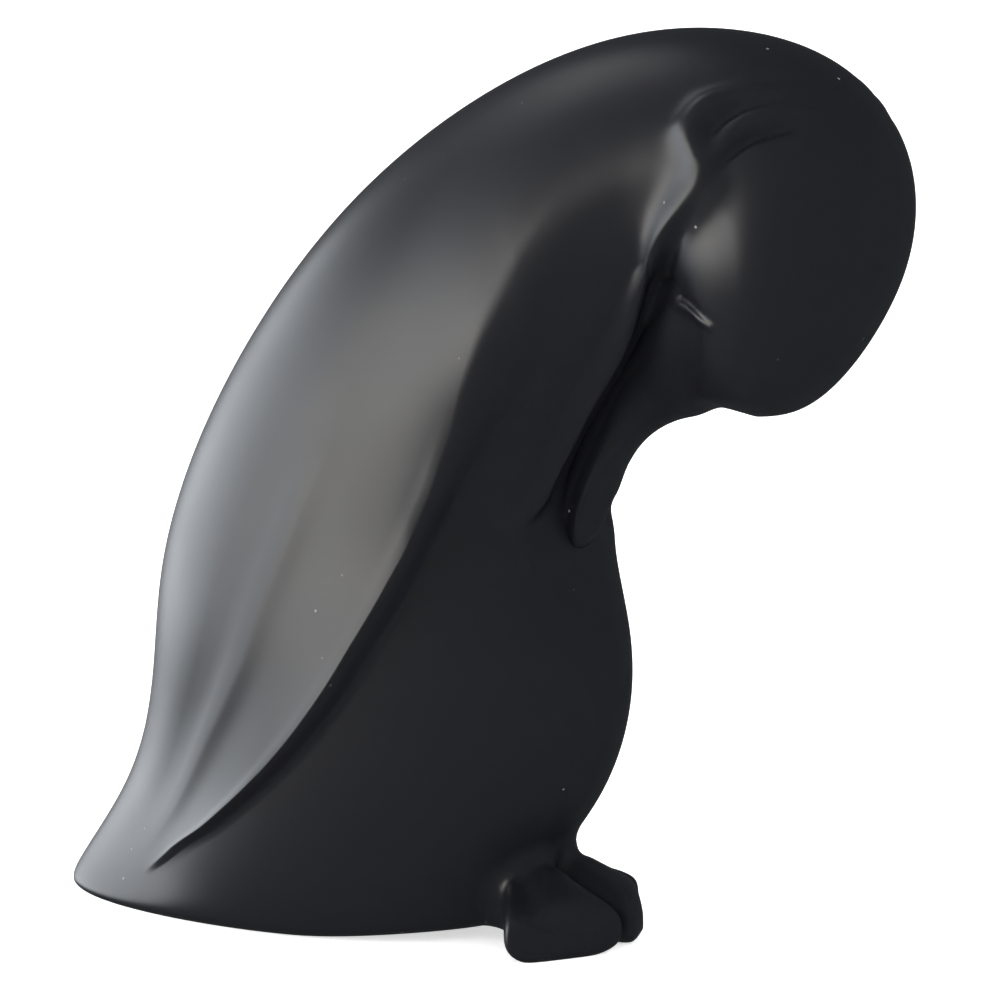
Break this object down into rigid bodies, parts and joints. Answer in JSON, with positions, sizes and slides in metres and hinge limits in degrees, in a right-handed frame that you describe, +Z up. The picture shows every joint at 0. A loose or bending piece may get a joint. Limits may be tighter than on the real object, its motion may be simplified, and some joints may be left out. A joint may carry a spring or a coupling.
{
  "type": "ceramic penguin figurine",
  "caption": "Black glazed penguin figurine, hunched, with its head bowed and its beak lying on its breast, folded wings and webbed feet.",
  "frame": {"origin": "on the ground, under the middle of the figure's box", "axes": "+X the way the penguin faces, +Y its left, +Z up"},
  "size_m": [0.245, 0.1028, 0.2351],
  "materials": {
    "black_glaze": "satin black glaze on fired clay, with fine specks"
  },
  "bodies": {
    "root": {"penguin": "black_glaze"}
  },
  "joints": []
}
